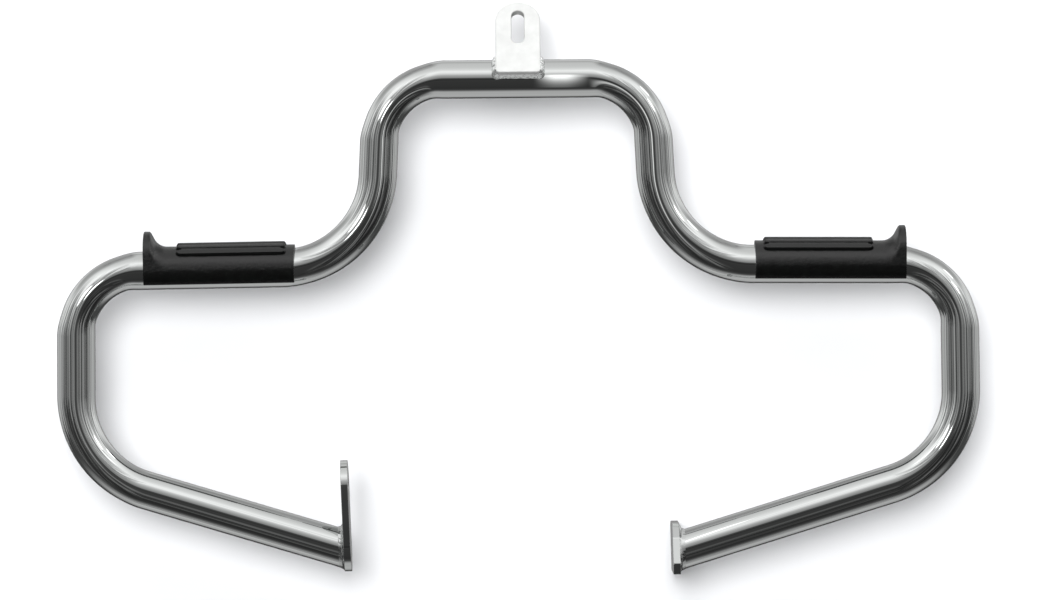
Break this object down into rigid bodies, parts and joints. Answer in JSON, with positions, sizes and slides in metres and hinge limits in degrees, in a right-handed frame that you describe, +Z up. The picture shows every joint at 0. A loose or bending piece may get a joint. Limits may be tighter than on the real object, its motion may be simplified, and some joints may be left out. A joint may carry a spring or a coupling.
{
  "type": "motorcycle crash bars",
  "caption": "Bent chrome tube crash bars for the front of a motorcycle, with a slotted top tab, bolted end plates and rubber foot pads.",
  "frame": {"origin": "middle of the top tab's slot, on the tab's rear face", "axes": "+X across the motorcycle along the bar's longest extent, +Y to the rear through the bar's thin depth, +Z up"},
  "size_m": [0.763, 0.0941, 0.4741],
  "materials": {
    "chrome_tube": "polished chrome plate",
    "chrome_plate": "polished chrome plate on sheared plate",
    "weld": "chrome plated weld bead",
    "bright_tab": "satin bright plate",
    "rubber_pad": "matte moulded black rubber"
  },
  "bodies": {
    "root": {"bar_tube": "chrome_tube", "top_tab": "bright_tab", "top_tab_weld": "weld", "left_end_plate": "chrome_plate", "left_end_weld": "weld", "right_end_plate": "chrome_plate", "right_end_weld": "weld", "left_foot_pad": "rubber_pad", "right_foot_pad": "rubber_pad"}
  },
  "joints": []
}
